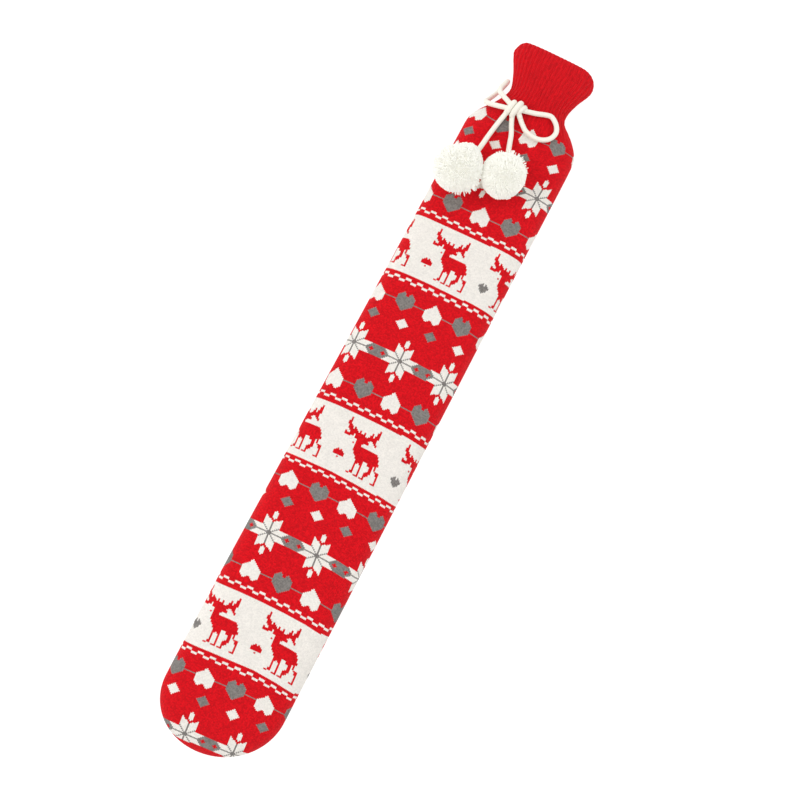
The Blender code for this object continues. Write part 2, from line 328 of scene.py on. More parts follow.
# The tie's stretches, as in the part's source
CORD = 5.0
TIE_ROUTES = {
    "tie_loop_right": (
        (-9, 319, 33.6), (1.6, 322.4, 32.6), (10.2, 325.7, 32.4), (16.8, 326.7, 32.4),
        (24.4, 321.6, 32), (28, 313.8, 31.6), (24.4, 305, 31.2), (14.3, 299.9, 31),
        (1.6, 300.9, 31), (-5.6, 305.4, 31.2), (-11.6, 310.7, 32.1),
    ),
    "tie_loop_left": (
        (-30, 312.5, 33.2), (-38.4, 310.9, 31.4), (-46.8, 311.1, 26), (-50.8, 314.7, 17),
        (-49.4, 321.4, 7.6), (-46, 330.8, 3.2), (-43, 339, 3.6), (-41, 344.6, 7.6),
        (-40.6, 345.2, 13.6), (-41.6, 340.2, 19.6), (-43.2, 333, 24.2), (-42.4, 327.4, 28),
        (-37.5, 323.3, 31.8), (-29.3, 319.3, 33.9),
    ),
    "tie_tail_left": (
        (-25.9, 308.6, 32.8), (-27.8, 299.9, 30.9), (-29.8, 288.5, 30.9), (-31.2, 277.3, 33.4),
        (-32.2, 265.2, 38.2), (-33.4, 255.6, 41.4),
    ),
    "tie_tail_right": (
        (-19.4, 308.6, 32.8), (-16.2, 301, 30.9), (-11.5, 291.5, 31.2), (-8, 279.9, 34.6),
        (-5.4, 271, 38.6),
    ),
}
CORD_COLUMNS = 6  # stitches round the knitted cord
CORD_STITCH = 2.2  # length of one of them
CORD_SIDES = 24
CORD_STEP = 0.55
CORD_END = (0.9, 0.97)  # how wide the last rings at each end are
# The cord's radius, in shares: below the stitches, and what a leg and a stitch's middle add
CORD_CORE, CORD_LEG, CORD_SWELL = 0.94, 0.05, 0.07

# The knot, as diameter and route: three turns that run over it, and the two strands that pass
# through it between the loops
KNOT_STEP = 0.6
KNOT_ROUTES = (
    (5.7, (
        (-26.2, 307.4, 31.8), (-25.7, 311, 35.6), (-24.8, 316, 37), (-23.9, 320.2, 35.6),
        (-23.5, 322.2, 31.8),
    )),
    (5.7, (
        (-19.6, 307.4, 32.4), (-19.5, 311.4, 36.8), (-18.5, 317, 38.8), (-17.4, 322.2, 36.6),
        (-17, 324, 31.8),
    )),
    (5.7, (
        (-15.6, 312.6, 33.8), (-14.2, 316.2, 36.6), (-12.4, 320, 35.6), (-11.6, 322, 31.8),
    )),
    (5.3, (
        (-30.2, 312.4, 33), (-25, 313.4, 34.4), (-18, 314.6, 35), (-14.2, 312.8, 33.8),
        (-10.6, 309.8, 32.3),
    )),
    (5.3, (
        (-29.6, 319.2, 33.7), (-24, 317.8, 34.4), (-17.5, 317.2, 35.2), (-12.4, 318, 34.6),
        (-7.8, 319.4, 33.7),
    )),
)

# Shaggy is the side cut the least evenly. Each trim has a side, the share of the radius left on
# it and how narrow it is.
Pompom = namedtuple("Pompom", "centre radius shaggy seed trims")
POMPOMS = {
    "pompom_left": Pompom((-42.1, 229.4, 49.2), 25.2, (0.9, -0.4, -0.2), 3, (
        ((0.15, 1, 0), 1.13, 9),
        ((-0.62, 0.78, 0), 0.85, 9),
        ((0.9, -0.3, 0), 1.04, 9),
    )),
    "pompom_right": Pompom((2.4, 244.8, 48.2), 24.0, (0.1, 1.0, -0.1), 8, (
        ((1, 0, 0), 0.88, 1.5),
    )),
}
POMPOM_REST = 27.6  # height of the cover's top, on which they lie
POMPOM_PARTING = 0.4  # from each one to the plane where they meet
TUFTS = 900
TUFT_STRANDS = 7
TUFT_SCATTER, STRAND_SCATTER = 0.03, 0.06
TUFT_LEAN = 0.02
# How unevenly tufts and strands are cut, and which share of the tufts stands out by how much
TUFT_UNEVENNESS, STRAND_UNEVENNESS = 0.005, (-0.02, 0.015)
TALL_SHARE, TALL_BY = 0.03, 0.04
# The shaggy side starts and is full at these cosines. Its strands are cut short, but for a
# share that is left long.
SHAGGY_START, SHAGGY_FULL = 0.45, 0.8
SHORT_BY = 0.06
LONG_SHARE, LONG_BY = 0.08, (0.03, 0.14)
STRAND_WIDTH = 1.25
STRAND_WIDTHS = (0.8, 1.15)  # the thinnest and the thickest, in shares
STRAND_TWIST = 0.5  # radians from root to tip
STRAND_SIDES = 3
# The rings along a strand: share of its length, and of its width
STRAND_RINGS = ((0, 0.8), (0.6, 1), (0.93, 1), (1, 0.6))
# Strands start at this share of the radius, or deeper where their tips are held short
ROOT, SHORT_TIP, SHORT_ROOT = 0.6, 0.75, 0.72
MIDDLE_RINGS, MIDDLE_SIDES = 24, 36
MIDDLE_SHARE, MIDDLE_INSET = 0.86, 0.97  # of the radius, and of the reach there
# The middle's strand value is low: a painted shade on the ground between the strands
MIDDLE_SHADE = 0.2


def linear(code):
    """An sRGB hex colour as linear RGBA."""
    values = []
    for k in (1, 3, 5):
        c = int(code[k : k + 2], 16) / 255
        values.append(c / 12.92 if c <= 0.04045 else ((c + 0.055) / 1.055) ** 2.4)
    return (*values, 1.0)


def add_node(tree, kind, inputs=None, **settings):
    """Adds a node with its settings. Its inputs are values, or sockets to link from."""
    made = tree.nodes.new(kind)
    for name, value in settings.items():
        setattr(made, name, value)
    for name, value in (inputs or {}).items():
        if isinstance(value, bpy.types.NodeSocket):
            tree.links.new(value, made.inputs[name])
        else:
            made.inputs[name].default_value = value
    return made


def new_material(name):
    """A material, its nodes and its shader."""
    made = bpy.data.materials.new(name)
    made.use_nodes = True
    return made, made.node_tree, made.node_tree.nodes["Principled BSDF"]


# What the knitted material works out, one after the other: a name, how, and from which values
STITCH_MATHS = (
    # Each stitch is a V: its legs rise from the middle to the sides
    ("up", "FRACT", "rows"),
    ("centred", "MULTIPLY_ADD", "across", 2.0, -1.0),
    ("spread", "ABSOLUTE", "centred"),
    ("lift", "MULTIPLY", "spread", 0.6),
    # The red yarn is the fullest, so it spreads a little over the stitches round it
    ("red_here", "LESS_THAN", "yarn", 0.5),
    ("red_below", "LESS_THAN", "yarn_below", 0.5),
    ("redder_below", "SUBTRACT", "red_below", "red_here"),
    ("edge", "MULTIPLY_ADD", "redder_below", 0.1, "lift"),
    ("under", "LESS_THAN", "up", "edge"),
    ("to_below", "SUBTRACT", "yarn_below", "yarn"),
    ("own_yarn", "MULTIPLY_ADD", "to_below", "under", "yarn"),
    ("right_half", "GREATER_THAN", "across", 0.5),
    ("to_right", "SUBTRACT", "yarn_right", "yarn_left"),
    ("yarn_beside", "MULTIPLY_ADD", "to_right", "right_half", "yarn_left"),
    ("not_red_beside", "GREATER_THAN", "yarn_beside", 0.5),
    ("inner", "LESS_THAN", "spread", 0.78),
    ("kept", "MAXIMUM", "inner", "not_red_beside"),
    ("yarn_seen", "MULTIPLY", "own_yarn", "kept"),
    ("is_white", "GREATER_THAN", "yarn_seen", 0.5),
    ("is_grey", "GREATER_THAN", "yarn_seen", 1.5),
    # Round legs: full in the middle of each, sunk between them and where one enters the next. The
    # height makes the bump, and it also paints the sunk parts darker: painted shade.
    ("turn", "MULTIPLY", "across", 2 * math.pi),
    ("wave", "SINE", "turn"),
    ("ridge", "ABSOLUTE", "wave"),
    ("leg", "POWER", "ridge", 0.6),
    ("climb", "SUBTRACT", "up", "lift"),
    ("reach", "FRACT", "climb"),
    ("half_turn", "MULTIPLY", "reach", math.pi),
    ("arch", "SINE", "half_turn"),
    ("swell", "MULTIPLY_ADD", "arch", 0.45, 0.55),
    ("height", "MULTIPLY", "leg", "swell"),
    # Fibres, uneven stitches and a slow drift of the dye make it lighter and darker, and in the
    # neck the ribs' painted light and shade does too
    ("stitch_tone_and_rib_shading", "ADD", "tone_and_rib_shading", 0.88),
    ("near_shade", "MULTIPLY_ADD", "fibre", 0.24, "stitch_tone_and_rib_shading"),
    ("far_shade", "MULTIPLY_ADD", "wander", 0.08, 0.96),
    ("shade", "MULTIPLY", "near_shade", "far_shade"),
)


def knitted_acrylic():
    """Acrylic yarn, machine knitted in stocking stitch: matt, a little fuzzy, two legs a stitch.

    The face attributes say which yarn a stitch is knitted in, which ones lie below and beside it
    and how much lighter or darker it is: at random, and in the neck by a painted light and shade
    of the ribs. The UV map runs from 0 to 1 across each stitch and up each row. Its colour is a
    painted shade in the hollows between the legs, and the yarn's own colour on the full legs.
    """
    material, tree, shader = new_material("knitted_acrylic")
    place = add_node(tree, "ShaderNodeUVMap", uv_map="stitch")
    split = add_node(tree, "ShaderNodeSeparateXYZ", {0: place.outputs[0]})
    coords = add_node(tree, "ShaderNodeTexCoord").outputs["Object"]
    found = {"across": split.outputs["X"], "rows": split.outputs["Y"]}
    for name in ("yarn", "yarn_below", "yarn_left", "yarn_right", "tone_and_rib_shading"):
        found[name] = add_node(tree, "ShaderNodeAttribute", attribute_name=name).outputs["Fac"]
    for name, size, detail in (("fibre", 1.1 * MM, 3.0), ("wander", 14 * MM, 2.0)):
        found[name] = add_node(
            tree, "ShaderNodeTexNoise", {"Vector": coords, "Scale": 1 / size, "Detail": detail}
        ).outputs["Fac"]
    for name, operation, *values in STITCH_MATHS:
        inputs = {i: found.get(value, value) for i, value in enumerate(values)}
        found[name] = add_node(tree, "ShaderNodeMath", inputs, operation=operation).outputs[0]

    # Each yarn's first colour is a painted shade for the hollows between legs and stitches; the
    # second is its own colour, for the full legs
    groove_shade_and_yarn_colours = []
    for red, white, grey in (("#AA0711", "#EDE4DA", "#565150"), ("#F3111F", "#FDFAF4", "#9A9590")):
        inputs = {0: found["is_white"], 6: linear(red), 7: linear(white)}
        tint = add_node(tree, "ShaderNodeMix", inputs, data_type="RGBA").outputs[2]
        inputs = {0: found["is_grey"], 6: tint, 7: linear(grey)}
        groove_shade_and_yarn_colours.append(add_node(tree, "ShaderNodeMix", inputs, data_type="RGBA").outputs[2])
    # Mixed by the legs' height: painted shade in the hollows, the yarn's colour on the full legs
    inputs = {0: found["height"], 6: groove_shade_and_yarn_colours[0], 7: groove_shade_and_yarn_colours[1]}
    colour = add_node(tree, "ShaderNodeMix", inputs, data_type="RGBA").outputs[2]
    inputs = {0: colour, 3: found["shade"]}
    scaled = add_node(tree, "ShaderNodeVectorMath", inputs, operation="SCALE").outputs[0]
    bump = add_node(
        tree, "ShaderNodeBump", {"Height": found["height"], "Strength": 0.7, "Distance": 0.6 * MM}
    ).outputs[0]
    tree.links.new(scaled, shader.inputs["Base Color"])
    tree.links.new(bump, shader.inputs["Normal"])
    shader.inputs["Roughness"].default_value = 0.92
    shader.inputs["Specular IOR Level"].default_value = 0.12
    shader.inputs["Sheen Weight"].default_value = 0.05
    return material


def cotton_cord():
    """Cotton yarn, knitted into a round cord: matt cream, with small stitches along it."""
    material, tree, shader = new_material("knitted_cotton_cord")
    coords = add_node(tree, "ShaderNodeTexCoord").outputs["Object"]
    fibre = add_node(
        tree, "ShaderNodeTexNoise", {"Vector": coords, "Scale": 1 / (0.7 * MM), "Detail": 3.0}
    ).outputs["Fac"]
    inputs = {0: fibre, 6: linear("#EAE6DA"), 7: linear("#FAF7EC")}
    tint = add_node(tree, "ShaderNodeMix", inputs, data_type="RGBA").outputs[2]
    bump = add_node(
        tree, "ShaderNodeBump", {"Height": fibre, "Strength": 0.3, "Distance": 0.2 * MM}
    ).outputs[0]
    tree.links.new(tint, shader.inputs["Base Color"])
    tree.links.new(bump, shader.inputs["Normal"])
    shader.inputs["Roughness"].default_value = 0.9
    shader.inputs["Specular IOR Level"].default_value = 0.25
    shader.inputs["Sheen Weight"].default_value = 0.15
    return material


def pompom_yarn():
    """Cut acrylic yarn: soft, cream and matt, each strand a little lighter or darker."""
    material, tree, shader = new_material("cut_pompom_yarn")
    strand = add_node(tree, "ShaderNodeAttribute", attribute_name="strand").outputs["Fac"]
    inputs = {0: strand, 6: linear("#EFEDE6"), 7: linear("#FDFDF7")}
    tint = add_node(tree, "ShaderNodeMix", inputs, data_type="RGBA").outputs[2]
    tree.links.new(tint, shader.inputs["Base Color"])
    # Stands in for the light that passes from strand to strand
    shader.inputs["Emission Color"].default_value = linear("#FFFFF8")
    shader.inputs["Emission Strength"].default_value = 0.165
    shader.inputs["Roughness"].default_value = 0.95
    shader.inputs["Specular IOR Level"].default_value = 0.15
    shader.inputs["Sheen Weight"].default_value = 0.1
    return material


def link_object(name, data, material=None):
    made = bpy.data.objects.new(name, data)
    if material:
        data.materials.append(material)
    bpy.context.scene.collection.objects.link(made)
    return made


def face_values(mesh, name, values):
    """Gives each face a number, for its material to read."""
    attribute = mesh.attributes.new(name, "FLOAT", "FACE")
    attribute.data.foreach_set("value", np.array(values, dtype=np.float32))


def make_camera():
    """From above, tilted a little towards the mouth, and turned, as in the photograph."""
    tilt = math.radians(CAMERA_TILT)
    cosine, sine = CAMERA_TURN
    along = Vector((0, math.cos(tilt), math.sin(tilt)))
    down = Vector((0, math.sin(tilt), -math.cos(tilt)))
    right = Vector((cosine, 0, 0)) + sine * along
    up = Vector((-sine, 0, 0)) + cosine * along
    data = bpy.data.cameras.new("camera")
    data.lens = LENS
    camera = link_object("camera", data)
    turned = Matrix((right, up, -down)).transposed().to_4x4()
    camera.matrix_world = Matrix.Translation(CAMERA_PLACE) @ turned
    bpy.context.scene.camera = camera


def make_studio():
    """A white floor under soft light that comes a little more from the photograph's left."""
    half = FLOOR_HALF
    corners = [(-half, -half, 0), (half, -half, 0), (half, half, 0), (-half, half, 0)]
    data = bpy.data.meshes.new("floor")
    data.from_pydata(corners, [], [(0, 1, 2, 3)])
    # Matt white paper, lit a little from itself, as white as the photograph's ground
    material, _, shader = new_material("white_studio_floor")
    shader.inputs["Base Color"].default_value = linear("#9C9C9C")
    shader.inputs["Roughness"].default_value = 1.0
    shader.inputs["Specular IOR Level"].default_value = 0.0
    shader.inputs["Emission Strength"].default_value = 0.85
    link_object("studio_floor", data, material)

    world = bpy.data.worlds.new("studio")
    world.use_nodes = True
    background = world.node_tree.nodes["Background"]
    background.inputs["Color"].default_value = (1, 1, 1, 1)
    background.inputs["Strength"].default_value = 0.83
    bpy.context.scene.world = world
    bpy.context.scene.view_settings.view_transform = "Standard"

    for name, place, size, watts in LAMPS:
        data = bpy.data.lights.new(name, "AREA")
        data.size = size
        data.energy = watts
        lamp = link_object(name, data)
        lamp.location = place
        # Turned to the cover's middle
        lamp.rotation_euler = (-Vector(place)).to_track_quat("-Z", "Y").to_euler()


def ease(value, start, end):
    """0 before start, 1 after end, and a smooth rise between."""
    share = np.clip((value - start) / (end - start), 0.0, 1.0)
    return share * share * (3 - 2 * share)


def smooth_between(a, b, slope_a, slope_b, t):
    """The smooth curve from a to b that leaves and arrives with these slopes, at t of 0 to 1."""
    rise = b - a
    curve = a + t * slope_a + t * t * (3 * rise - 2 * slope_a - slope_b)
    return curve + t * t * t * (slope_a + slope_b - 2 * rise)


def section_at(y):
    """The sleeve's section at y: left, right, top, side, square."""
    last = len(SECTIONS) - 1
    i = min(max(int((SECTIONS[:, 0] <= y).sum()) - 1, 0), last - 1)
    before, after = SECTIONS[max(i - 1, 0)], SECTIONS[min(i + 2, last)]
    a, b = SECTIONS[i], SECTIONS[i + 1]
    step = b[0] - a[0]
    slope_a = (b - before) / (b[0] - before[0]) * step
    slope_b = (after - a) / (after[0] - a[0]) * step
    return smooth_between(a, b, slope_a, slope_b, (y - a[0]) / step)[1:]


def foot_section(angle, length):
    """y, section and fullness at an angle in degrees round the foot."""
    _, left, right, top, side, square = SECTIONS[0]
    reach, narrow = math.sin(math.radians(angle)), math.cos(math.radians(angle))
    fullness = math.sqrt(max(1 - reach**FOOT_FULLNESS, 0.0))
    top, side = (SEAM_HEIGHT + (height - SEAM_HEIGHT) * fullness for height in (top, side))
    section = (left * narrow, right * narrow, top, side, 2 + (square - 2) * fullness)
    return FOOT_START - length * reach, section, fullness


def slant(y):
    """How steeply the rows climb at y."""
    return SLANT + (FOOT_SLANT - SLANT) * ease(-y, -FOOT_SLANT_START, -FOOT_START)


def rim_bend(x, y):
    """How far the rim's round corners draw a point back towards the body."""
    # Each side's half-width, and how far its corner reaches across and along
    sides = zip((SECTIONS[-1][1], *RIM_CORNER_LEFT), (SECTIONS[-1][2], *RIM_CORNER_RIGHT))
    half, across, along = (np.where(x > 0, right, left) for left, right in sides)
    over = np.clip((np.abs(x) - half + across) / across, 0.0, 1.0)
    return along * (1 - np.sqrt(1 - over**2)) * ease(y, RIM_BEND_START, MOUTH)


class Outline:
    """The sleeve's outline at one place: its points, by arc length."""

    def __init__(self, y, section, fullness=1.0, inset=0.0):
        left, right, top, side, square = section
        self.y = y
        self.inset = inset
        self.centre = (right - left) / 2
        half = max((right + left) / 2 - inset, 0.0)
        rise = max(top - inset - side, 0.0)
        fall = max((side + UNDERSIDE_PRESS) * fullness - inset, 0.0)
        angle = math.pi - 2 * math.pi * np.arange(OUTLINE_STEPS + 1) / OUTLINE_STEPS
        across, up = np.cos(angle), np.sin(angle)
        power = np.where(up >= 0, 2 / square, 2 / UNDERSIDE_SQUARENESS)
        self.x = self.centre + half * np.sign(across) * np.abs(across) ** power
        self.z = np.maximum(side + np.where(up >= 0, rise, fall) * up, inset)
        self.along = np.concatenate(
            ([0.0], np.cumsum(np.hypot(np.diff(self.x), np.diff(self.z))))
        )
        self.top_length = self.along[OUTLINE_STEPS // 2]
        self.length = self.along[-1]
        self.under_length = self.length - self.top_length

    def spot(self, at):
        """x and z at these arc lengths."""
        return np.interp(at, self.along, self.x), np.interp(at, self.along, self.z)

    def points(self, at, relief=0.0):
        """The points at these arc lengths, raised off the surface by relief."""
        at = np.mod(at, self.length) if self.length > 0 else at * 0
        x, z = self.spot(at)
        if np.any(relief):
            before, after = self.spot(at - NEAR), self.spot(at + NEAR)
            dx, dz = after[0] - before[0], after[1] - before[1]
            size = np.maximum(np.hypot(dx, dz), 1e-9)
            x = x - relief * dz / size
            z = z + relief * dx / size
        y = self.y + slant(self.y) * x - rim_bend(x, self.y)
        return np.stack((x, y, np.maximum(z, self.inset)), axis=1)


FOOT_OUTLINE = Outline(FOOT_START, SECTIONS[0][1:])


def stamp(cloth, chart, row, column, colour):
    """Knits a chart's # marks into the cloth, its top left at row and column."""
    for i, line in enumerate(chart):
        for j, mark in enumerate(line):
            if mark == "#" and 0 <= row + i < len(cloth):
                cloth[row + i, (column + j) % STITCHES] = colour


def pattern(rows):
    """The colour of every stitch, row by row from the neck to the foot. Column 0 runs through the
    middle of a white heart."""
    cloth = np.zeros((rows, STITCHES), dtype=int)

    def hearts(row):
        """White and grey hearts in turn, with a grey line from each one to the next."""
        width = len(WHITE_HEART[0])
        for k in range(STITCHES // HEARTS_APART):
            column = HEARTS_APART * k - width // 2
            stamp(cloth, ["#" * (HEARTS_APART - width)], row + 7, column + width, GREY)
            chart, yarn = (GREY_HEART, GREY) if k % 2 else (WHITE_HEART, WHITE)
            stamp(cloth, chart, row, column, yarn)

    def diamonds(row):
        for k in range(STITCHES // HEARTS_APART):
            stamp(cloth, DIAMOND, row, HEARTS_APART * k, WHITE if k % 2 else GREY)

    def stars(middle):
        """Stars, and lozenges between them, mirrored from one quarter."""
        yarns = {"r": RED, "w": WHITE, "g": GREY}
        reach, half = len(STAR_QUARTER) - 1, STARS_APART // 2
        for i in range(-reach, reach + 1):
            if not 0 <= middle + i < rows:
                continue
            line = STAR_QUARTER[abs(i)]
            for j in range(1 - half, half + 1):
                for k in range(STITCHES // STARS_APART):
                    column = (STAR_COLUMN + j + STARS_APART * k) % STITCHES
                    cloth[middle + i, column] = yarns[line[abs(j)]]

    def dashes(row, first):
        """Two rows of dashes, each dash two stitches high, one row set between the other's."""
        for i in range(4):
            for j in range(STITCHES):
                if row + i < rows and (j - first - DASH * (i // 2)) % (2 * DASH) < DASH:
                    cloth[row + i, j] = WHITE

    def band(row):
        """A white band of reindeer, with a leaf behind each one."""
        cloth[row : row + BAND_ROWS] = WHITE
        for k in range(STITCHES // REINDEER_APART):
            column = REINDEER_APART * k + REINDEER_COLUMN
            stamp(cloth, REINDEER, row + 3, column, RED)
            leaf, yarn = (GREY_LEAF, GREY) if k % 2 else (RED_LEAF, RED)
            stamp(cloth, leaf, row + 29, column, yarn)

    for start in range(0, rows, REPEAT):
        hearts(start)
        diamonds(start + 20)
        stars(start + 51)
        hearts(start + 74)
        dashes(start + 93, 2)
        band(start + 100)
        dashes(start + 150, -2)
    cloth[LAST_ROWS:] = RED
    return cloth


def foot_profile():
    """Arc length down the top of the foot, and the angle there."""
    angles = np.linspace(0, 90, FOOT_STEPS + 1)
    sections = [foot_section(angle, FOOT_LENGTH) for angle in angles]
    tops = [(y, section[2]) for y, section, _ in sections]
    steps = np.hypot(*np.diff(tops, axis=0).T)
    return np.concatenate(([0.0], np.cumsum(steps))), angles


def value_at(table, y):
    """What a table of y and a value, from the neck down, gives at y."""
    return float(np.interp(-y, [-row[0] for row in table], [row[1] for row in table]))


def between_lines(table, where, pick):
    """What a table gives between its lines, for the columns that pick names."""
    low = np.minimum(where.astype(int), len(table) - 2)
    part = (where - low)[:, None] if table.ndim == 3 else where - low
    return table[low, pick] * (1 - part) + table[low + 1, pick] * part


def row_pull(x, y):
    """How far the rows through these points are pulled towards the neck."""
    at_x = np.array([np.interp(x, PULL_X, row[1:]) for row in ROW_PULL])
    down = np.interp(-y, [-row[0] for row in ROW_PULL], np.arange(len(ROW_PULL)))
    return between_lines(at_x, down, np.arange(len(x)))


def place_columns(outline, columns, cut=False):
    """Where column boundaries lie on an outline: their arc lengths, how many columns each moves
    to stay between the sides, and at which side it ends, 1 or 2, or 0.

    The foot's outlines are cut: columns keep the width that they have where it starts, and end at
    the sides. Elsewhere they share the outline between them.
    """
    top_length, under_length = outline.top_length, outline.under_length
    whole = FOOT_OUTLINE if cut else outline
    across = FOOT_OUTLINE.top_length / STITCH_WIDTH / value_at(STRETCH, outline.y)
    pitch = whole.top_length / across
    below_pitch = whole.under_length / (STITCHES - across)
    x = value_at(HEART_LINE, outline.y)
    if not cut:
        x *= pitch / STITCH_WIDTH
    first = 0.5 + (-whole.top_length / 2 + outline.centre - x) / pitch
    middle = first + across + (STITCHES - across) / 2
    offset = np.mod(columns - first, STITCHES)
    column = first + offset
    on_top = offset <= across
    at_top = (column - 0.5) * pitch + top_length / 2 - outline.centre + x
    at_below = (column - middle) * below_pitch + under_length / 2
    top_kept, below_kept = np.clip(at_top, 0, top_length), np.clip(at_below, 0, under_length)
    at = np.where(on_top, top_kept, top_length + below_kept)
    moved = np.where(on_top, (top_kept - at_top) / pitch, (below_kept - at_below) / below_pitch)
    side = np.zeros(len(columns), dtype=int)
    side[(on_top & (at_top <= 0)) | (~on_top & (at_below >= under_length))] = 1
    side[(on_top & (at_top >= top_length)) | (~on_top & (at_below <= 0))] = 2
    return at, moved, side


class Columns:
    """The columns of the body and the foot, followed down on close stations.

    A depth is measured down the top, from the pattern's first row. Each table has a line for each
    station: spots, moves and sides by column, and seams, its points at the two sides.
    """

    def __init__(self):
        lengths, angles = foot_profile()
        self.body = CHART_TOP - FOOT_START
        self.total = self.body + lengths[-1]
        self.rows = int(self.total // ROW_HEIGHT) + 1
        step = ROW_HEIGHT / 2
        count = int(self.total / step) + SPARE_STATIONS + 2
        self.stations = np.minimum((np.arange(count) - SPARE_STATIONS) * step, self.total)
        tables = []
        for depth in self.stations:
            in_foot = depth > self.body
            if in_foot:
                angle = float(np.interp(depth - self.body, lengths, angles))
                outline = Outline(*foot_section(angle, FOOT_LENGTH))
            else:
                y = CHART_TOP - depth
                outline = Outline(y, section_at(y))
            at, moved, side = place_columns(outline, WHOLE, cut=in_foot)
            seams = outline.points(np.array((0.0, outline.top_length)))
            tables.append((outline.points(at), moved, side, seams))
        self.spots, self.moves, self.sides, self.seams = map(np.array, zip(*tables))

    def station(self, depth):
        """The stations at these depths, with the shares between them."""
        return np.interp(depth, self.stations, np.arange(len(self.stations)))

    def read(self, table, depth, pick):
        """A table's values at these depths, for the columns or sides that pick names."""
        return between_lines(table, self.station(depth), pick)

    def pulled_depth(self, table, wanted, pick, rounds):
        """The depths where the row that belongs at wanted runs once it is pulled."""
        depth = np.full(len(pick), float(wanted))
        for _ in range(rounds):
            spot = self.read(table, depth, pick)
            depth = wanted - row_pull(spot[:, 0], spot[:, 1])
        return depth


class Fabric:
    """The knitted sheet while it is made: its rings of points, and a face for each stitch."""

    def __init__(self):
        self.rings, self.faces, self.spots = [], [], []
        self.count = 0
        self.values = {
            name: [] for name in ("yarn", "yarn_below", "yarn_left", "yarn_right", "tone_and_rib_shading")
        }
        self.rng = random.Random(STITCH_SEED)

    def add_ring(self, ring):
        """Adds points and gives their numbers."""
        self.rings.append(ring)
        self.count += len(ring)
        return np.arange(self.count - len(ring), self.count)

    def add_outline(self, outline, columns, relief=0.0):
        """Adds an outline's points at these columns, and gives their numbers."""
        at, _, _ = place_columns(outline, columns)
        return self.add_ring(outline.points(at, relief))

    def add_face(self, corners, uvs, yarns=(RED, RED, RED, RED), tone_and_rib_shading=0.0):
        """A face, with corners that fall together made one. Its yarns are its own and those
        below, left and right of it."""
        kept = {}
        for corner, uv in zip(corners, uvs):
            kept.setdefault(int(corner), uv)
        if len(kept) > 2:
            self.faces.append(list(kept))
            self.spots.extend(kept.values())
            # Random unevenness, added to the ribs' painted light and shade where one is given
            tone_and_rib_shading += self.rng.uniform(-1, 1) * YARN_UNEVENNESS[yarns[0]]
            for values, value in zip(self.values.values(), (*yarns, tone_and_rib_shading)):
                values.append(value)

    def finish(self, name, material):
        """The sheet as a piece, without the points that no face uses."""
        points = np.concatenate(self.rings) * MM
        used, numbers = np.unique(np.concatenate(self.faces), return_inverse=True)
        faces, at = [], 0
        for face in self.faces:
            faces.append(numbers[at : at + len(face)].tolist())
            at += len(face)
        mesh = bpy.data.meshes.new(name)
        mesh.from_pydata(points[used].tolist(), [], faces)
        layer = mesh.uv_layers.new(name="stitch")
        layer.data.foreach_set("uv", np.array(self.spots, dtype=np.float32).ravel())
        for key, values in self.values.items():
            face_values(mesh, key, values)
        mesh.shade_smooth()
        mesh.update()
        return link_object(name, mesh, material)


def knit_neck(fabric):
    """The ribbed neck, from the lip down. Gives its rings."""
    height = RIB_ROWS * ROW_HEIGHT
    bottom = CHART_TOP + height
    count = round((MOUTH - LIP_DROP - bottom) / height)
    rings = []
    for y in np.linspace(MOUTH - LIP_DROP, bottom, count + 1):
        relief = RIB_DEPTH * ease(y, RIB_START, RIB_FULL) * RIB_HEIGHTS
        rings.append(fabric.add_outline(Outline(y, section_at(y)), HALVES, relief))
    top = RIB_ROWS - ROW_END
    for upper, lower in zip(rings, rings[1:]):
        for j in range(len(upper)):
            k = (j + 1) % len(upper)
            u = 0.5 * (j % 2)
            # Each half stitch of the ribs gets a painted light and shade: lighter on the crests,
            # darker in the hollows
            fabric.add_face(
                (lower[j], lower[k], upper[k], upper[j]),
                ((u, 0), (u + 0.5, 0), (u + 0.5, top), (u, top)),
                tone_and_rib_shading=RIB_PAINTED_LIGHT_AND_SHADE[j % len(RIB_PAINTED_LIGHT_AND_SHADE)],
            )
    return rings


def ring_rows(fabric, columns):
    """A ring between each row and the next, and how far the columns move there.

    Columns that have ended at a side share one point on it, and at the foot's tip all are one.
    """
    rings, moves = [], []
    every = np.arange(STITCHES)
    tip = None
    while tip is None or not (rings[-1] == tip).all():
        wanted = len(rings) * ROW_HEIGHT
        depth = columns.pulled_depth(columns.spots, wanted, every, 3)
        if len(rings) > columns.rows + SPARE_ROWS:
            depth[:] = columns.total + 1
        ring = columns.read(columns.spots, depth, every)
        nearest = columns.station(depth).round().astype(int)
        ended = np.where(depth > columns.body, columns.sides[nearest, every], 0)
        groups = []
        for side in (0, 1):
            group = np.flatnonzero(ended == side + 1)
            if len(group):
                pick = np.array([side])
                seam = columns.pulled_depth(columns.seams, wanted, pick, 6)
                ring[group] = columns.read(columns.seams, np.minimum(seam, columns.total), pick)
                groups.append(group)
        numbers = fabric.add_ring(ring)
        for group in groups:
            numbers[group] = numbers[group[0]]
        at_tip = depth >= columns.total - SEAM_END
        if at_tip.any():
            if tip is None:
                last = columns.read(columns.seams, np.array([columns.total]), np.array([0]))
                tip = fabric.add_ring(last)[0]
            numbers[at_tip] = tip
        rings.append(numbers)
        moves.append(columns.read(columns.moves, depth, every))
    return rings, moves


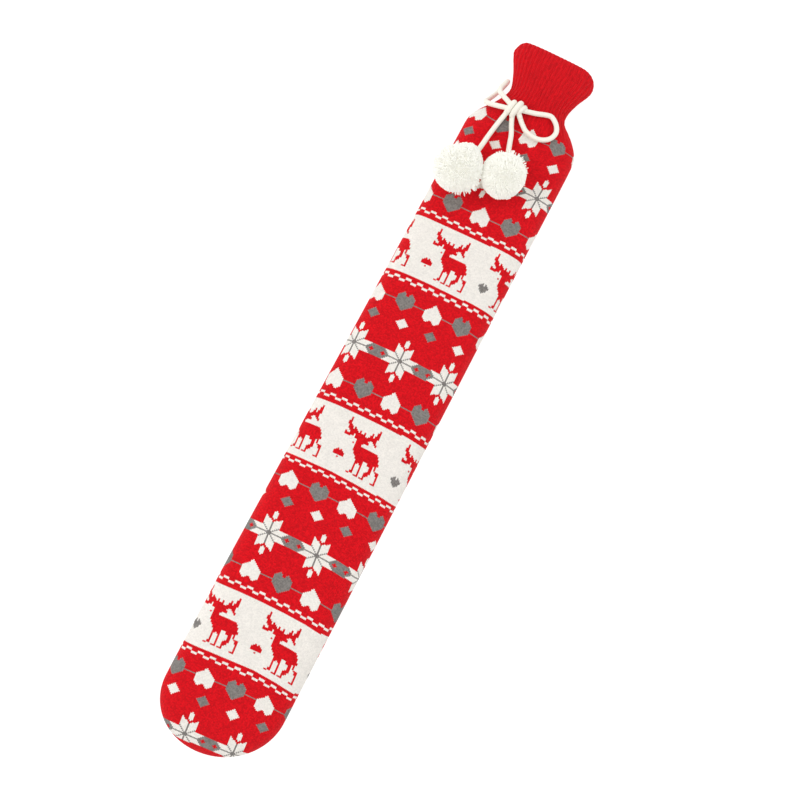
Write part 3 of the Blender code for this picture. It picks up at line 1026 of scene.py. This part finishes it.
def knit_body(fabric, neck, rings, moves, cloth):
    """Plain stitches below the neck, then a face for each stitch down to the foot."""
    top = RIB_ROWS - ROW_END
    for j in range(STITCHES):
        k = (j + 1) % STITCHES
        fabric.add_face(
            (rings[0][j], rings[0][k], neck[2 * k], neck[2 * j + 1], neck[2 * j]),
            ((0, 0), (1, 0), (1, top), (0.5, top), (0, top)),
        )
    top = 1 - ROW_END
    lefts = [np.clip(moved, 0, 1) for moved in moves]
    rights = [np.clip(1 + moved, 0, 1) for moved in moves]
    for i, (upper, lower) in enumerate(zip(rings, rings[1:])):
        for j in range(STITCHES):
            k = (j + 1) % STITCHES
            row = i + 1 if JOG_COLUMNS[0] <= j < JOG_COLUMNS[1] else i
            low, high = (lefts[i + 1][j], rights[i + 1][k]), (rights[i][k], lefts[i][j])
            fabric.add_face(
                (lower[j], lower[k], upper[k], upper[j]),
                ((low[0], 0), (low[1], 0), (high[0], top), (high[1], top)),
                (cloth[row, j], cloth[row + 1, j], cloth[row, j - 1], cloth[row, k]),
            )


def knit_inside(fabric, lip):
    """The lip's turn and the inside, down to its end in the foot."""
    rings = [lip]
    for y, inset, share in LIP_TURN:
        outline = Outline(y, section_at(y), inset=inset)
        rings.append(fabric.add_outline(outline, HALVES, RIB_DEPTH * share * RIB_HEIGHTS))
    for y in INSIDE_Y:
        outline = Outline(y, section_at(y), inset=WALL)
        rings.append(fabric.add_outline(outline, WHOLE[:: STITCHES // INSIDE_POINTS]))
    for angle in INSIDE_ANGLES:
        outline = Outline(*foot_section(angle, FOOT_LENGTH - SEAM_MARGIN), inset=WALL)
        at = outline.length * np.arange(INSIDE_POINTS) / INSIDE_POINTS
        rings.append(fabric.add_ring(outline.points(at)))
    for upper, lower in zip(rings, rings[1:]):
        step = len(upper) // len(lower)
        for j in range(len(lower)):
            k = (j + 1) % len(lower)
            corners = [upper[(step * j + n) % len(upper)] for n in range(step + 1)]
            start_u, width = (0.0, 1.0) if step > 1 else (0.5 * (j % 2), 0.5)
            uvs = [(start_u + width * n / step, 0) for n in range(step + 1)]
            fabric.add_face((*corners, lower[k], lower[j]),
                            (*uvs, (start_u + width, 1), (start_u, 1)))
    fabric.add_face(rings[-1], ((0.3, 0.5),) * len(rings[-1]))


def make_cover(material):
    """The cover, knitted from the lip down to the foot, and then its inside."""
    fabric = Fabric()
    neck = knit_neck(fabric)
    columns = Columns()
    rings, moves = ring_rows(fabric, columns)
    knit_body(fabric, neck[-1], rings, moves, pattern(columns.rows + 2 * SPARE_ROWS))
    knit_inside(fabric, neck[0])
    return fabric.finish("knitted_cover", material)


def smooth_route(stops, step):
    """Points about step apart on a smooth curve through the given ones."""
    path = [Vector(stop) for stop in stops]
    path = [2 * path[0] - path[1], *path, 2 * path[-1] - path[-2]]
    route = []
    for before, a, b, after in zip(path, path[1:], path[2:], path[3:]):
        count = max(1, round((b - a).length / step))
        for k in range(count):
            route.append(smooth_between(a, b, (b - before) / 2, (after - a) / 2, k / count))
    route.append(path[-2])
    return route


def tube_faces(rings, sides, first=0):
    """The faces between rings of points that follow each other, side by side."""
    faces = []
    for i in range(rings - 1):
        for k in range(sides):
            a, b = first + i * sides + k, first + i * sides + (k + 1) % sides
            faces.append((a, b, b + sides, a + sides))
    return faces


def knitted_tube(route, diameter):
    """Points and faces of a knitted cord along a route, with its stitches raised."""
    points = []
    normal = Vector((0, 0, 1))
    along = 0.0
    for i, place in enumerate(route):
        ahead = route[min(i + 1, len(route) - 1)] - route[max(i - 1, 0)]
        ahead.normalize()
        if i:
            along += (place - route[i - 1]).length
        normal = (normal - ahead * normal.dot(ahead)).normalized()
        side = ahead.cross(normal)
        end = min(i, len(route) - 1 - i)
        close = CORD_END[end] if end < len(CORD_END) else 1.0
        for k in range(CORD_SIDES):
            angle = 2 * math.pi * k / CORD_SIDES
            column = angle * CORD_COLUMNS / (2 * math.pi)
            # Each stitch is a V, and so its legs lag behind its middle
            lag = 0.5 * abs(2 * (column % 1) - 1)
            stitch = math.sin(math.pi * ((along / CORD_STITCH - lag) % 1))
            leg = abs(math.sin(math.pi * column))
            raised = CORD_CORE + CORD_LEG * leg + CORD_SWELL * stitch
            radius = diameter / 2 * raised * close
            points.append(place + radius * (math.cos(angle) * normal + math.sin(angle) * side))
    faces = tube_faces(len(route), CORD_SIDES)
    faces.append(tuple(reversed(range(CORD_SIDES))))
    faces.append(tuple(range(len(points) - CORD_SIDES, len(points))))
    return points, faces


def mesh_piece(name, points, faces, material):
    mesh = bpy.data.meshes.new(name)
    mesh.from_pydata([tuple(Vector(p) * MM) for p in points], [], faces)
    mesh.shade_smooth()
    mesh.update()
    return link_object(name, mesh, material)


def make_tie(material):
    """The tie's stretches of cord, each with the route that it follows."""
    made = {}
    for name, stops in TIE_ROUTES.items():
        route = smooth_route(stops, CORD_STEP)
        points, faces = knitted_tube(route, CORD)
        piece = mesh_piece(name.replace("tie", "knitted_tie"), points, faces, material)
        made[name] = (piece, route)
    return made


def make_knot(material):
    points, faces = [], []
    for diameter, stops in KNOT_ROUTES:
        more, sides = knitted_tube(smooth_route(stops, KNOT_STEP), diameter)
        faces += [tuple(k + len(points) for k in face) for face in sides]
        points += more
    return mesh_piece("knitted_tie_knot", points, faces, material)


def pompom_reach(pompom, other):
    """How far out a strand may go, off the cover and the other pompom."""
    centre = Vector(pompom.centre)
    towards = Vector(other.centre) - centre
    share = pompom.radius / (pompom.radius + other.radius)
    meeting = towards.length * share - POMPOM_PARTING
    towards.normalize()

    def reach(direction, wanted):
        limit = wanted
        if direction.z < 0:
            limit = min(limit, (centre.z - POMPOM_REST) / -direction.z)
        facing = direction.dot(towards)
        if facing > 0:
            limit = min(limit, meeting / facing)
        return limit

    return reach


def make_pompom(name, pompom, other, material):
    """A pompom of cut strands in tufts, each tuft from one point of its middle."""
    rng = random.Random(pompom.seed)
    reach = pompom_reach(pompom, other)
    centre = Vector(pompom.centre)
    shaggy = Vector(pompom.shaggy).normalized()
    points, faces, shades = [], [], []
    golden = math.pi * (3 - math.sqrt(5))

    def sway(amount):
        return amount * Vector((rng.gauss(0, 1), rng.gauss(0, 1), rng.gauss(0, 1)))

    def add_strand(way, tip, lean):
        root = ROOT * pompom.radius if tip > SHORT_TIP * pompom.radius else SHORT_ROOT * tip
        across_way = way.orthogonal().normalized()
        across_way.rotate(Matrix.Rotation(rng.uniform(0, 2 * math.pi), 3, way))
        other_way = way.cross(across_way)
        width = STRAND_WIDTH * rng.uniform(*STRAND_WIDTHS)
        faces.extend(tube_faces(len(STRAND_RINGS), STRAND_SIDES, len(points)))
        for t, thick in STRAND_RINGS:
            middle = centre + way * (root + (tip - root) * t) + lean * t * t
            for k in range(STRAND_SIDES):
                turn = 2 * math.pi * k / STRAND_SIDES + STRAND_TWIST * t
                out = across_way * math.cos(turn) + other_way * math.sin(turn)
                points.append(middle + out * width / 2 * thick)
        faces.append(tuple(range(len(points) - STRAND_SIDES, len(points))))

    for n in range(TUFTS):
        z = 1 - 2 * (n + 0.5) / TUFTS
        across = math.sqrt(1 - z * z)
        tuft = Vector((across * math.cos(golden * n), across * math.sin(golden * n), z))
        tuft = (tuft + sway(TUFT_SCATTER)).normalized()
        tuft_length = 1 + rng.gauss(0, TUFT_UNEVENNESS)
        tuft_length += TALL_BY if rng.random() < TALL_SHARE else 0
        for side, share, narrow in pompom.trims:
            tuft_length *= 1 + (share - 1) * max(tuft.dot(Vector(side).normalized()), 0) ** narrow
        lean = sway(1)
        lean = (lean - tuft * lean.dot(tuft)) * TUFT_LEAN * pompom.radius
        shade = rng.random()
        for _ in range(TUFT_STRANDS):
            way = (tuft + sway(STRAND_SCATTER)).normalized()
            uneven = (way.dot(shaggy) - SHAGGY_START) / (SHAGGY_FULL - SHAGGY_START)
            uneven = min(max(uneven, 0), 1)
            cut = 1 + rng.uniform(*STRAND_UNEVENNESS)
            cut += uneven * (rng.uniform(*LONG_BY) if rng.random() < LONG_SHARE else -SHORT_BY)
            before = len(faces)
            add_strand(way, reach(way, pompom.radius * tuft_length * cut), lean)
            shades += [0.6 * shade + 0.4 * rng.random()] * (len(faces) - before)

    # The wound middle, seen only as the ground between the strands
    first = len(points)
    for i in range(MIDDLE_RINGS + 1):
        tilt = math.pi * i / MIDDLE_RINGS
        for k in range(MIDDLE_SIDES):
            turn = 2 * math.pi * k / MIDDLE_SIDES
            way = Vector((math.sin(tilt) * math.cos(turn), math.sin(tilt) * math.sin(turn),
                          math.cos(tilt)))
            limit = reach(way, pompom.radius * MIDDLE_SHARE)
            points.append(centre + way * limit * MIDDLE_INSET)
    quads = tube_faces(MIDDLE_RINGS + 1, MIDDLE_SIDES, first)
    middle = [(a, d, c, b) for a, b, c, d in quads]
    faces += middle
    # The low value paints the ground between the strands darker: painted shade
    shades += [MIDDLE_SHADE] * len(middle)
    piece = mesh_piece(name, points, faces, material)
    face_values(piece.data, "strand", shades)
    return piece


def settle(piece, node):
    """Attaches a piece to the root and hides its node's part, which the piece stands in for."""
    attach(piece, "root")
    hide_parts(node)


make_camera()
make_studio()

cord_material = cotton_cord()
tie = make_tie(cord_material)
fluff = pompom_yarn()
left, right = POMPOMS["pompom_left"], POMPOMS["pompom_right"]
pompoms = {
    "tie_tail_left": make_pompom("yarn_pompom_left", left, right, fluff),
    "tie_tail_right": make_pompom("yarn_pompom_right", right, left, fluff),
}
for name, node in (("tie_tail_left", "pompom_left"), ("tie_tail_right", "pompom_right")):
    settle(pompoms[name], node)
for name, (piece, route) in tie.items():
    settle(piece, name)
knot = make_knot(cord_material)
settle(knot, "tie_knot")

cover = make_cover(knitted_acrylic())
settle(cover, "cover")
